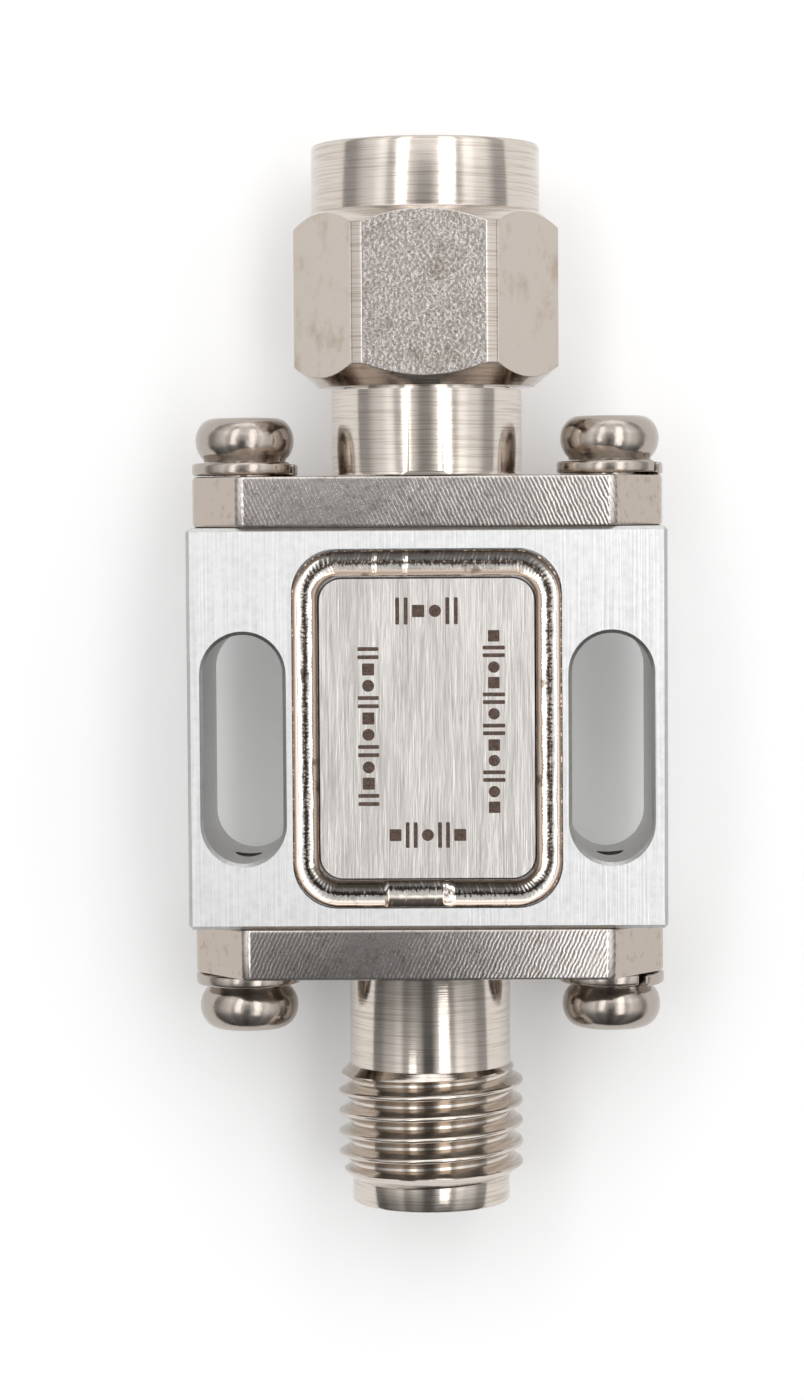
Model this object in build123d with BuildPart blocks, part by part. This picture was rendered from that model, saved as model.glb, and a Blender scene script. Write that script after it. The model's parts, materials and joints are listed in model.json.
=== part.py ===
from build123d import *
from math import cos, radians, sin, tan
import os

# A small in-line power limiter for a coaxial line. Its circuit sits in a milled housing under a
# welded lid, with a plug screwed to one end and a jack to the other.
# X runs across the two mounting slots, Y along the connector axis towards the plug and Z out of
# the lid. The origin is the centre of the housing's back face. All sizes are in millimetres.

os.makedirs("parts", exist_ok=True)

# Housing
housing_width = 16.0
housing_length = 13.4
housing_thickness = 6.3
housing_edge = 0.12
slot_width = 2.65
slot_side_wall = 0.535
slot_plug_end_wall = 3.545
slot_jack_end_wall = 2.205
slot_edge = 0.12

# Lid, its recess and the welded joint
recess_slot_land = 0.315
recess_end_wall = 0.7
recess_radius = 1.5
recess_depth = 0.4
lip_width = 0.45
seam_side_gap = 0.875
seam_end_gap = 0.96
pad_radius = 0.8
pad_drop = 0.05
pad_edge = 0.05
lid_plate_thickness = 0.4
lid_clearance = 0.02
ledge_width = 0.9
cavity_radius = 0.8
weld_side_drop = 0.18
weld_sag = 0.15
weld_floor_width = 0.3
weld_clearance = 0.02

# Flanges and their screws
flange_side_gap = 0.06
flange_proud = 0.025
flange_thickness = 1.72
flange_end_height = 1.9
flange_edge = 0.12
plug_flange_taper = 1.69
jack_flange_taper = 1.79
screw_edge_distance = 1.74
screw_diameter = 2.0
screw_length = 4.0
screw_head_diameter = 3.35
screw_head_height = 1.51
screw_head_crown_height = 0.65
screw_head_top_diameter = 2.3
recess_wing_length = 2.0
recess_wing_width = 0.4
recess_wing_depth = 0.7
recess_wing_taper = 12.0
screw_fit = 0.02
screw_hole_clearance = 0.15
tapped_spare = 0.17
drill_point_angle = 118.0
washer_diameter = 3.6
washer_thickness = 0.5
washer_bore_clearance = 0.05
washer_split = 0.22
washer_split_slant = 25.0
washer_split_direction = 30.0

# Coaxial line shared by the plug and the jack
line_bore_diameter = 4.1
contact_diameter = 1.27
fit_clearance = 0.01
contact_back_gap = 0.08

# Plug
neck_step = 0.49
neck_length = 2.88
neck_flare = 0.12
ferrule_wall = 0.24
ferrule_length = 2.35
ferrule_edge = 0.08
plug_face_depth = 2.9
plug_pin_diameter = 0.914
plug_pin_length = 2.4
plug_pin_point = 0.25
plug_pin_point_diameter = 0.46
gasket_width = 0.45
gasket_thickness = 0.45
ring_width = 0.45
ring_proud = 0.2
ring_opening = 1.6
ring_groove_depth = 0.34
ring_groove_clearance = 0.18
ring_side_clearance = 0.05

# Coupling nut
nut_sides = 6
nut_flats = 8.0
nut_corner_cut = 0.134
nut_hex_length = 5.87
nut_rim_step = 0.135
nut_rim_length = 2.28
nut_rim_edge = 0.12
nut_back_face_step = 0.35
nut_chamfer_angle = 40.0
nut_back_gap = 0.1
nut_journal_length = 0.95
nut_running_clearance = 0.06
nut_ring_clearance = 0.11
nut_thread_bore = 5.64
nut_thread_length = 4.55
nut_mouth_diameter = 6.5

# Jack
barrel_diameter = 5.48
barrel_length = 3.33
barrel_flare = 0.12
thread_diameter = 6.33
thread_length = 3.65
thread_end_chamfer = 0.3
tip_step = 0.475
tip_length = 0.96
tip_edge = 0.08
socket_mouth_clearance = 0.03
socket_mouth_depth = 1.93
socket_mouth_edge = 0.12
jack_hole_clearance = 0.013
jack_hole_depth = 2.9
tine_slot_width = 0.12
tine_slot_length = 2.0

# Glass seals in the end walls
seal_ring_diameter = 2.5
seal_glass_diameter = 1.9
seal_length = 1.4
seal_pin_diameter = 0.3
seal_pin_outside = 1.5
seal_pin_inside = 0.55
seal_fit = 0.01
contact_hole_clearance = 0.02
contact_hole_spare = 0.2
iris_diameter = 0.8

# Circuit
board_thickness = 0.254
board_clearance = 0.1
conductor_thickness = 0.03
conductor_end_margin = 0.05
line_width = 0.55
capacitor_length = 0.6
capacitor_width = 0.36
capacitor_height = 0.3
capacitor_end_distance = 1.3
capacitor_gap = 0.25
diode_size = 0.4
diode_height = 0.15
diode_position = 1.6
diode_pad_size = 0.7
diode_pad_gap = 0.3
strap_width = 0.15
strap_thickness = 0.03
strap_foot = 0.2
choke_length = 1.0
choke_width = 0.5
choke_height = 0.5
choke_terminal = 0.22
choke_waist = 0.06
choke_start = 0.75
stub_width = 0.3
choke_pad_length = 0.6
ribbon_width = 0.3
ribbon_thickness = 0.03
ribbon_clearance = 0.01
ribbon_margin = 0.05

# Levels in the housing, from the back face
axis_height = housing_thickness / 2
lip_level = housing_thickness - recess_depth
ledge_level = lip_level - lid_plate_thickness
pad_level = housing_thickness - pad_drop
conductor_level = axis_height - seal_pin_diameter / 2
board_level = conductor_level - conductor_thickness
floor_level = board_level - board_thickness

# Slots and the lid's recess, set in from the housing's sides and ends
slot_spacing = housing_width - 2 * slot_side_wall - slot_width
slot_length = housing_length - slot_plug_end_wall - slot_jack_end_wall
slot_offset = (slot_jack_end_wall - slot_plug_end_wall) / 2
recess_width = slot_spacing - slot_width - 2 * recess_slot_land
recess_length = housing_length - 2 * recess_end_wall

# Outlines nested inside the recess
pad_width = recess_width - 2 * seam_side_gap
pad_length = recess_length - 2 * seam_end_gap
pocket_width = recess_width - 2 * lip_width
pocket_length = recess_length - 2 * lip_width
pocket_radius = recess_radius - lip_width
cavity_width = pocket_width - 2 * ledge_width
cavity_length = pocket_length - 2 * ledge_width

# Flanges, a little narrower than the housing and a little proud of its faces
flange_width = housing_width - 2 * flange_side_gap
flange_height = housing_thickness + 2 * flange_proud
screw_spacing = flange_width - 2 * screw_edge_distance
tapped_depth = screw_length - washer_thickness - flange_thickness + tapped_spare

# Diameters about the connector axis, from the line's bore outwards
ferrule_diameter = line_bore_diameter + 2 * ferrule_wall
journal_diameter = ferrule_diameter + 2 * gasket_width
neck_diameter = journal_diameter + 2 * neck_step
ring_outer_diameter = journal_diameter + 2 * ring_proud
ring_inner_diameter = journal_diameter - 2 * (ring_groove_depth - ring_groove_clearance)
nut_relief_diameter = ring_outer_diameter + 2 * nut_ring_clearance
nut_corners = nut_flats / cos(radians(180 / nut_sides)) - 2 * nut_corner_cut
nut_rim_diameter = nut_flats - 2 * nut_rim_step
nut_back_face_diameter = nut_flats - 2 * nut_back_face_step
socket_mouth_diameter = ferrule_diameter + 2 * socket_mouth_clearance
jack_hole_diameter = plug_pin_diameter + 2 * jack_hole_clearance
tip_diameter = thread_diameter - 2 * tip_step

# Distances along the connector axis, from the middle of the housing outwards
end_wall = housing_length / 2
flange_top = end_wall + flange_thickness
washer_top = flange_top + washer_thickness
neck_top = flange_top + neck_length
nut_back = neck_top + nut_back_gap
nut_hex_top = nut_back + nut_hex_length
nut_front = nut_hex_top + nut_rim_length
plug_reference = nut_front - plug_face_depth
plug_shoulder = plug_reference - ferrule_length
barrel_top = flange_top + barrel_length
thread_top = barrel_top + thread_length
jack_front = thread_top + tip_length
jack_reference = jack_front - socket_mouth_depth
cavity_end = cavity_length / 2
seal_inner_face = end_wall - seal_length

plug_end = 1
jack_end = -1
ends = {"plug": plug_end, "jack": jack_end}
screw_offset = screw_spacing / 2
sides = {"left": -screw_offset, "right": screw_offset}


def station(end, distance, across=0.0):
    # a plane square to the connector axis, facing away from the housing, with its y upwards
    return Plane(
        origin=(across, end * distance, axis_height), x_dir=(-end, 0, 0), z_dir=(0, end, 0)
    )


def radial_plane(end, across=0.0):
    # x is the distance from an axis along Y and y the distance out from the housing's middle
    return Plane(origin=(across, 0, axis_height), x_dir=(1, 0, 0), z_dir=(0, 0, end))


def turned(end, outline, mode=Mode.ADD, across=0.0):
    # turns an outline of (radius, distance) points about an axis along Y
    with BuildSketch(radial_plane(end, across)) as section:
        with BuildLine():
            Polyline(*outline, close=True)
        make_face()
    revolve(section.sketch, axis=Axis((across, 0, axis_height), (0, 1, 0)), mode=mode)


def bored(end, diameter, start, stop):
    # a round hole on the connector axis between two distances from the housing's middle
    with BuildSketch(station(end, start)) as hole:
        Circle(diameter / 2)
    extrude(hole.sketch, amount=stop - start, mode=Mode.SUBTRACT)


def flange(end, taper_length):
    # the flange's ends are tapered, and its outline is broken all round
    half_width = flange_width / 2
    half_face = half_width - taper_length
    half_height = flange_height / 2
    half_end = flange_end_height / 2
    with BuildSketch(station(end, end_wall)) as plate_outline:
        with BuildLine():
            Polyline(
                (half_face, half_height),
                (half_width, half_end),
                (half_width, -half_end),
                (half_face, -half_height),
                (-half_face, -half_height),
                (-half_width, -half_end),
                (-half_width, half_end),
                (-half_face, half_height),
                close=True,
            )
        make_face()
    extrude(plate_outline.sketch, amount=flange_thickness)
    chamfer(edges().filter_by(Axis.Y, reverse=True), flange_edge)
    with BuildSketch(station(end, end_wall)) as screw_holes:
        with Locations(*[(across, 0) for across in sides.values()]):
            Circle(screw_diameter / 2 + screw_hole_clearance)
    extrude(screw_holes.sketch, amount=flange_thickness, mode=Mode.SUBTRACT)


# Housing: a block with the lid's stepped recess, the cavity, and what the two ends need
with BuildPart() as housing:
    with BuildSketch():
        Rectangle(housing_width, housing_length)
    extrude(amount=housing_thickness)
    chamfer(housing.edges(), housing_edge)
    with BuildSketch():
        with Locations((-slot_spacing / 2, slot_offset), (slot_spacing / 2, slot_offset)):
            SlotOverall(slot_length, slot_width, rotation=90)
    extrude(amount=housing_thickness, mode=Mode.SUBTRACT)
    flat_sides = housing.faces().filter_by(Axis.Z).sort_by(Axis.Z)
    slot_rims = flat_sides[0].inner_wires() + flat_sides[-1].inner_wires()
    chamfer(slot_rims.edges(), slot_edge)
    with BuildSketch(Plane.XY.offset(lip_level)):
        RectangleRounded(recess_width, recess_length, recess_radius)
    extrude(amount=recess_depth, mode=Mode.SUBTRACT)
    with BuildSketch(Plane.XY.offset(ledge_level)):
        RectangleRounded(pocket_width, pocket_length, pocket_radius)
    extrude(amount=lid_plate_thickness, mode=Mode.SUBTRACT)
    with BuildSketch(Plane.XY.offset(floor_level)):
        RectangleRounded(cavity_width, cavity_length, cavity_radius)
    extrude(amount=ledge_level - floor_level, mode=Mode.SUBTRACT)
    tapped_radius = screw_diameter / 2 + screw_fit
    drill_point = tapped_radius / tan(radians(drill_point_angle / 2))
    for end in ends.values():
        bored(end, seal_ring_diameter + 2 * seal_fit, seal_inner_face, end_wall)
        bored(end, iris_diameter, cavity_end, end_wall)
        for across in sides.values():
            turned(
                end,
                [
                    (0, end_wall),
                    (tapped_radius, end_wall),
                    (tapped_radius, end_wall - tapped_depth),
                    (0, end_wall - tapped_depth - drill_point),
                ],
                Mode.SUBTRACT,
                across,
            )
housing.part.label = "housing"
export_step(housing.part, "parts/housing.step")

# Lid: a thin plate that lies on the ledge, with a raised pad that comes level with the housing
with BuildPart() as lid:
    with BuildSketch(Plane.XY.offset(ledge_level)):
        RectangleRounded(
            pocket_width - 2 * lid_clearance,
            pocket_length - 2 * lid_clearance,
            pocket_radius - lid_clearance,
        )
    extrude(amount=lid_plate_thickness)
    with BuildSketch(Plane.XY.offset(lip_level)):
        RectangleRounded(pad_width, pad_length, pad_radius)
    extrude(amount=pad_level - lip_level)
    chamfer(lid.faces().sort_by(Axis.Z)[-1].outer_wire().edges(), pad_edge)
lid.part.label = "lid"
export_step(lid.part, "parts/lid.step")

# Weld seam: a hollow-topped ring over the joint between the lid's plate and the housing's lip
weld_x = (recess_width + pad_width) / 4
weld_y = (recess_length + pad_length) / 4
weld_radius = (recess_radius + pad_radius) / 2
weld_width = min(seam_side_gap, seam_end_gap) - 2 * weld_clearance
weld_side_height = recess_depth - weld_side_drop
weld_middle_height = weld_side_height - weld_sag
with BuildPart() as weld_seam:
    with BuildLine(Plane.XY.offset(lip_level)) as seam_line:
        FilletPolyline(
            (weld_x, 0),
            (weld_x, -weld_y),
            (-weld_x, -weld_y),
            (-weld_x, weld_y),
            (weld_x, weld_y),
            radius=(0, weld_radius, weld_radius, weld_radius, weld_radius),
            close=True,
        )
    with BuildSketch(Plane(origin=(weld_x, 0, lip_level), x_dir=(1, 0, 0), z_dir=(0, -1, 0))):
        with BuildLine():
            Polyline(
                (-weld_width / 2, weld_side_height),
                (-weld_width / 2, 0),
                (weld_width / 2, 0),
                (weld_width / 2, weld_side_height),
                (weld_floor_width / 2, weld_middle_height),
                (-weld_floor_width / 2, weld_middle_height),
                close=True,
            )
        make_face()
    sweep(path=seam_line.wire())
weld_seam.part.label = "weld_seam"
export_step(weld_seam.part, "parts/weld_seam.step")

# Plug shell: flange, neck, the journal that the nut runs on, and the outer contact
neck_radius = neck_diameter / 2
journal_radius = journal_diameter / 2
ferrule_radius = ferrule_diameter / 2
ring_groove_radius = journal_radius - ring_groove_depth
ring_back = nut_back + nut_journal_length + ring_side_clearance
ring_front = ring_back + ring_width
with BuildPart() as plug_shell:
    flange(plug_end, plug_flange_taper)
    turned(
        plug_end,
        [
            (0, flange_top),
            (neck_radius + neck_flare, flange_top),
            (neck_radius, flange_top + neck_flare),
            (neck_radius, neck_top),
            (journal_radius, neck_top),
            (journal_radius, ring_back),
            (ring_groove_radius, ring_back),
            (ring_groove_radius, ring_front + ring_side_clearance),
            (journal_radius, ring_front + ring_side_clearance),
            (journal_radius, plug_shoulder),
            (ferrule_radius, plug_shoulder),
            (ferrule_radius, plug_reference - ferrule_edge),
            (ferrule_radius - ferrule_edge, plug_reference),
            (0, plug_reference),
        ],
    )
    # the flats milled on the flange run on over the foot of the neck
    with BuildSketch(station(plug_end, flange_top)):
        Rectangle(flange_width, flange_width)
        Rectangle(flange_width, flange_height, mode=Mode.SUBTRACT)
    extrude(amount=neck_flare, mode=Mode.SUBTRACT)
    bored(plug_end, line_bore_diameter, end_wall, plug_reference)
plug_shell.part.label = "plug_shell"
export_step(plug_shell.part, "parts/plug_shell.step")

# Jack shell: flange, barrel, threaded end at its outside diameter, and the socket mouth
barrel_radius = barrel_diameter / 2
thread_radius = thread_diameter / 2
tip_radius = tip_diameter / 2
mouth_radius = socket_mouth_diameter / 2
with BuildPart() as jack_shell:
    flange(jack_end, jack_flange_taper)
    turned(
        jack_end,
        [
            (0, flange_top),
            (barrel_radius + barrel_flare, flange_top),
            (barrel_radius, flange_top + barrel_flare),
            (barrel_radius, barrel_top),
            (thread_radius - thread_end_chamfer, barrel_top),
            (thread_radius, barrel_top + thread_end_chamfer),
            (thread_radius, thread_top - thread_end_chamfer),
            (thread_radius - thread_end_chamfer, thread_top),
            (tip_radius, thread_top),
            (tip_radius, jack_front - tip_edge),
            (tip_radius - tip_edge, jack_front),
            (0, jack_front),
        ],
    )
    bored(jack_end, line_bore_diameter, end_wall, jack_reference)
    turned(
        jack_end,
        [
            (0, jack_reference),
            (mouth_radius, jack_reference),
            (mouth_radius, jack_front - socket_mouth_edge),
            (mouth_radius + socket_mouth_edge, jack_front),
            (0, jack_front),
        ],
        Mode.SUBTRACT,
    )
jack_shell.part.label = "jack_shell"
export_step(jack_shell.part, "parts/jack_shell.step")

# Dielectrics: plain sleeves that carry the centre contacts
for name, end, reference in (
    ("plug_dielectric", plug_end, plug_reference),
    ("jack_dielectric", jack_end, jack_reference),
):
    with BuildPart() as dielectric:
        with BuildSketch(station(end, end_wall)):
            Circle(line_bore_diameter / 2 - fit_clearance)
            Circle(contact_diameter / 2 + fit_clearance, mode=Mode.SUBTRACT)
        extrude(amount=reference - end_wall)
    dielectric.part.label = name
    export_step(dielectric.part, f"parts/{name}.step")

# Centre contacts: each has a hole at the back for the seal's pin
contact_radius = contact_diameter / 2
contact_back = end_wall + contact_back_gap
seal_pin_hole = seal_pin_diameter + 2 * contact_hole_clearance
seal_pin_hole_end = end_wall + seal_pin_outside + contact_hole_spare
plug_pin_radius = plug_pin_diameter / 2
plug_pin_tip = plug_reference + plug_pin_length
with BuildPart() as plug_pin:
    turned(
        plug_end,
        [
            (0, contact_back),
            (contact_radius, contact_back),
            (contact_radius, plug_reference),
            (plug_pin_radius, plug_reference),
            (plug_pin_radius, plug_pin_tip - plug_pin_point),
            (plug_pin_point_diameter / 2, plug_pin_tip),
            (0, plug_pin_tip),
        ],
    )
    bored(plug_end, seal_pin_hole, contact_back, seal_pin_hole_end)
plug_pin.part.label = "plug_pin"
export_step(plug_pin.part, "parts/plug_pin.step")

# The jack's contact is slotted crosswise, so that its four tines grip the mating pin
with BuildPart() as jack_contact:
    turned(
        jack_end,
        [
            (0, contact_back),
            (contact_radius, contact_back),
            (contact_radius, jack_reference),
            (0, jack_reference),
        ],
    )
    bored(jack_end, seal_pin_hole, contact_back, seal_pin_hole_end)
    bored(jack_end, jack_hole_diameter, jack_reference - jack_hole_depth, jack_reference)
    with BuildSketch(station(jack_end, jack_reference - tine_slot_length)):
        Rectangle(contact_diameter, tine_slot_width)
        Rectangle(tine_slot_width, contact_diameter)
    extrude(amount=tine_slot_length, mode=Mode.SUBTRACT)
jack_contact.part.label = "jack_contact"
export_step(jack_contact.part, "parts/jack_contact.step")

# Retaining ring: a split ring in the shell's groove, which the nut's inner lip can't pass
with BuildPart() as retaining_ring:
    with BuildSketch(station(plug_end, ring_back)):
        Circle(ring_outer_diameter / 2)
        Circle(ring_inner_diameter / 2, mode=Mode.SUBTRACT)
        with Locations((0, ring_outer_diameter / 2)):
            Rectangle(ring_opening, ring_outer_diameter, mode=Mode.SUBTRACT)
    extrude(amount=ring_width)
retaining_ring.part.label = "retaining_ring"
export_step(retaining_ring.part, "parts/retaining_ring.step")

# Gasket: a rubber ring round the ferrule, against the shell's shoulder
with BuildPart() as plug_gasket:
    with BuildSketch(station(plug_end, plug_shoulder)):
        Circle(journal_radius)
        Circle(ferrule_radius + fit_clearance, mode=Mode.SUBTRACT)
    extrude(amount=gasket_thickness)
plug_gasket.part.label = "plug_gasket"
export_step(plug_gasket.part, "parts/plug_gasket.step")

# Coupling nut: hexagon bar turned at its corners and ends, with a round rim at the mouth
rim_radius = nut_rim_diameter / 2
corner_radius = nut_corners / 2
back_face_radius = nut_back_face_diameter / 2
chamfer_slope = tan(radians(nut_chamfer_angle))
thread_bore_radius = nut_thread_bore / 2
relief_radius = nut_relief_diameter / 2
mouth_cone = (nut_mouth_diameter - nut_thread_bore) / 2
nut_lip_front = nut_back + nut_journal_length
nut_thread_start = nut_front - nut_thread_length
with BuildPart() as coupling_nut:
    with BuildSketch(station(plug_end, nut_back)):
        RegularPolygon(nut_flats / 2, nut_sides, major_radius=False)
    extrude(amount=nut_hex_length)
    turned(
        plug_end,
        [
            (0, nut_back),
            (back_face_radius, nut_back),
            (corner_radius, nut_back + (corner_radius - back_face_radius) * chamfer_slope),
            (corner_radius, nut_hex_top - (corner_radius - rim_radius) * chamfer_slope),
            (rim_radius, nut_hex_top),
            (0, nut_hex_top),
        ],
        Mode.INTERSECT,
    )
    turned(
        plug_end,
        [
            (0, nut_hex_top),
            (rim_radius, nut_hex_top),
            (rim_radius, nut_front - nut_rim_edge),
            (rim_radius - nut_rim_edge, nut_front),
            (0, nut_front),
        ],
    )
    turned(
        plug_end,
        [
            (0, nut_back),
            (journal_radius + nut_running_clearance, nut_back),
            (journal_radius + nut_running_clearance, nut_lip_front),
            (relief_radius, nut_lip_front),
            (relief_radius, nut_thread_start),
            (thread_bore_radius, nut_thread_start),
            (thread_bore_radius, nut_front - mouth_cone),
            (thread_bore_radius + mouth_cone, nut_front),
            (0, nut_front),
        ],
        Mode.SUBTRACT,
    )
coupling_nut.part.label = "coupling_nut"
export_step(coupling_nut.part, "parts/coupling_nut.step")

# Screws and spring washers, two at each end
screw_radius = screw_diameter / 2
head_radius = screw_head_diameter / 2
head_crown_start = screw_head_height - screw_head_crown_height
screw_tip = washer_top - screw_length
screw_top = washer_top + screw_head_height
split_angle = radians(washer_split_direction)
split_slant = radians(washer_split_slant)
split_radial = Vector(cos(split_angle), 0, sin(split_angle))
split_tangent = Vector(-sin(split_angle), 0, cos(split_angle))
for end_name, end in ends.items():
    for side_name, across in sides.items():
        split_plane = Plane(
            origin=(across, end * (flange_top + washer_thickness / 2), axis_height),
            x_dir=split_radial,
            z_dir=Vector(0, end, 0) * cos(split_slant) + split_tangent * sin(split_slant),
        )
        with BuildPart() as washer:
            with BuildSketch(station(end, flange_top, across)):
                Circle(washer_diameter / 2)
                Circle(screw_radius + washer_bore_clearance, mode=Mode.SUBTRACT)
            extrude(amount=washer_thickness)
            with BuildSketch(split_plane):
                with Locations((washer_diameter / 2, 0)):
                    Rectangle(washer_diameter, washer_split)
            extrude(amount=washer_thickness, both=True, mode=Mode.SUBTRACT)
        washer.part.label = f"{end_name}_washer_{side_name}"
        export_step(washer.part, f"parts/{end_name}_washer_{side_name}.step")

        with BuildPart() as screw:
            turned(
                end,
                [
                    (0, screw_tip),
                    (screw_radius, screw_tip),
                    (screw_radius, washer_top),
                    (head_radius, washer_top),
                    (head_radius, washer_top + head_crown_start),
                    (screw_head_top_diameter / 2, screw_top),
                    (0, screw_top),
                ],
                across=across,
            )
            with BuildSketch(station(end, screw_top, across)):
                Rectangle(recess_wing_length, recess_wing_width)
                Rectangle(recess_wing_width, recess_wing_length)
            extrude(amount=-recess_wing_depth, taper=recess_wing_taper, mode=Mode.SUBTRACT)
        screw.part.label = f"{end_name}_screw_{side_name}"
        export_step(screw.part, f"parts/{end_name}_screw_{side_name}.step")

# Glass seals: a ring soldered into the end wall, glass fused inside it, and a pin through both
for end_name, end in ends.items():
    with BuildPart() as seal_ring:
        with BuildSketch(station(end, seal_inner_face)):
            Circle(seal_ring_diameter / 2)
            Circle(seal_glass_diameter / 2, mode=Mode.SUBTRACT)
        extrude(amount=seal_length)
    seal_ring.part.label = f"{end_name}_seal_ring"
    export_step(seal_ring.part, f"parts/{end_name}_seal_ring.step")

    with BuildPart() as seal_glass:
        with BuildSketch(station(end, seal_inner_face)):
            Circle(seal_glass_diameter / 2 - seal_fit)
            Circle(seal_pin_diameter / 2 + seal_fit, mode=Mode.SUBTRACT)
        extrude(amount=seal_length)
    seal_glass.part.label = f"{end_name}_seal_glass"
    export_step(seal_glass.part, f"parts/{end_name}_seal_glass.step")

    with BuildPart() as seal_pin:
        with BuildSketch(station(end, cavity_end - seal_pin_inside)):
            Circle(seal_pin_diameter / 2)
        extrude(amount=end_wall + seal_pin_outside - cavity_end + seal_pin_inside)
    seal_pin.part.label = f"{end_name}_seal_pin"
    export_step(seal_pin.part, f"parts/{end_name}_seal_pin.step")

# Circuit board and its conductors
board_width = cavity_width - 2 * board_clearance
board_length = cavity_length - 2 * board_clearance
with BuildPart() as circuit_board:
    with BuildSketch(Plane.XY.offset(floor_level)):
        RectangleRounded(board_width, board_length, cavity_radius - board_clearance)
    extrude(amount=board_thickness)
circuit_board.part.label = "circuit_board"
export_step(circuit_board.part, "parts/circuit_board.step")

line_end = board_length / 2 - conductor_end_margin
capacitor_position = line_end - capacitor_end_distance
middle_line_end = capacitor_position - capacitor_gap / 2
outer_line_start = capacitor_position + capacitor_gap / 2
outer_line_length = line_end - outer_line_start
diode_across = line_width / 2 + diode_pad_gap + diode_pad_size / 2
choke_across = -(choke_start + choke_length / 2)
choke_pad_across = choke_across - choke_length / 2
stub_end = choke_start + choke_terminal
with BuildPart() as microstrip_lines:
    with BuildSketch(Plane.XY.offset(board_level)):
        Rectangle(line_width, 2 * middle_line_end)
        with Locations((-stub_end / 2, 0)):
            Rectangle(stub_end, stub_width)
        for end in ends.values():
            with Locations((0, end * (outer_line_start + outer_line_length / 2))):
                Rectangle(line_width, outer_line_length)
            with Locations((end * diode_across, end * diode_position)):
                Rectangle(diode_pad_size, diode_pad_size)
        with Locations((choke_pad_across, 0)):
            Rectangle(choke_pad_length, choke_width)
    extrude(amount=conductor_thickness)
microstrip_lines.part.label = "microstrip_lines"
export_step(microstrip_lines.part, "parts/microstrip_lines.step")

# Blocking capacitors, one across each break in the line
for name, end in (("input_capacitor", plug_end), ("output_capacitor", jack_end)):
    with BuildPart() as capacitor:
        with BuildSketch(Plane.XY.offset(conductor_level)):
            with Locations((0, end * capacitor_position)):
                Rectangle(capacitor_width, capacitor_length)
        extrude(amount=capacitor_height)
    capacitor.part.label = name
    export_step(capacitor.part, f"parts/{name}.step")

# Limiter diodes on their ground pads, each with a strap to the line
strap_level = conductor_level + diode_height
strap_start = line_width / 2 - strap_foot
strap_rise_start = line_width / 2
strap_rise_end = diode_across - diode_size / 2
for name, end in (("coarse_diode", plug_end), ("cleanup_diode", jack_end)):
    with BuildPart() as diode:
        with BuildSketch(Plane.XY.offset(conductor_level)):
            with Locations((end * diode_across, end * diode_position)):
                Rectangle(diode_size, diode_size)
        extrude(amount=diode_height)
    diode.part.label = name
    export_step(diode.part, f"parts/{name}.step")

    strap_plane = Plane(
        origin=(0, end * diode_position, 0), x_dir=(end, 0, 0), z_dir=(0, -end, 0)
    )
    with BuildPart() as strap:
        with BuildSketch(strap_plane):
            with BuildLine():
                Polyline(
                    (strap_start, conductor_level),
                    (strap_rise_start, conductor_level),
                    (strap_rise_end, strap_level),
                    (diode_across, strap_level),
                    (diode_across, strap_level + strap_thickness),
                    (strap_rise_end, strap_level + strap_thickness),
                    (strap_rise_start, conductor_level + strap_thickness),
                    (strap_start, conductor_level + strap_thickness),
                    close=True,
                )
            make_face()
        extrude(amount=strap_width / 2, both=True)
    strap.part.label = f"{name}_strap"
    export_step(strap.part, f"parts/{name}_strap.step")

# Return choke: a wound body, waisted between its two terminals
with BuildPart() as choke:
    with BuildSketch(Plane.XY.offset(conductor_level)):
        with Locations((choke_across, 0)):
            Rectangle(choke_length, choke_width)
    extrude(amount=choke_height)
    with BuildSketch(Plane.XY.offset(conductor_level)):
        with Locations((choke_across, 0)):
            Rectangle(choke_length - 2 * choke_terminal, choke_width)
            Rectangle(
                choke_length - 2 * choke_terminal, choke_width - 2 * choke_waist, mode=Mode.SUBTRACT
            )
    extrude(amount=choke_height, mode=Mode.SUBTRACT)
choke.part.label = "choke"
export_step(choke.part, "parts/choke.step")

# Ribbons: gold straps laid over the seal pins and down onto the line
ribbon_inner = seal_pin_diameter / 2 + ribbon_clearance
ribbon_outer = ribbon_inner + ribbon_thickness
ribbon_foot_end = line_width / 2
ribbon_bottom = -seal_pin_diameter / 2
ribbon_start = cavity_end - seal_pin_inside + ribbon_margin
for name, end in (("input_ribbon", plug_end), ("output_ribbon", jack_end)):
    with BuildPart() as ribbon:
        with BuildSketch(station(end, ribbon_start)):
            with BuildLine():
                Polyline(
                    (-ribbon_outer, 0),
                    (-ribbon_outer, ribbon_bottom + ribbon_thickness),
                    (-ribbon_foot_end, ribbon_bottom + ribbon_thickness),
                    (-ribbon_foot_end, ribbon_bottom),
                    (-ribbon_inner, ribbon_bottom),
                    (-ribbon_inner, 0),
                )
                ThreePointArc((-ribbon_inner, 0), (0, ribbon_inner), (ribbon_inner, 0))
                Polyline(
                    (ribbon_inner, 0),
                    (ribbon_inner, ribbon_bottom),
                    (ribbon_foot_end, ribbon_bottom),
                    (ribbon_foot_end, ribbon_bottom + ribbon_thickness),
                    (ribbon_outer, ribbon_bottom + ribbon_thickness),
                    (ribbon_outer, 0),
                )
                ThreePointArc((ribbon_outer, 0), (0, ribbon_outer), (-ribbon_outer, 0))
            make_face()
        extrude(amount=ribbon_width)
    ribbon.part.label = name
    export_step(ribbon.part, f"parts/{name}.step")
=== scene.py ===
import bpy
import bmesh
import json
from math import atan2, ceil, cos, exp, hypot, pi, radians, sin, tan
from mathutils import Matrix, Vector, noise


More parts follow.
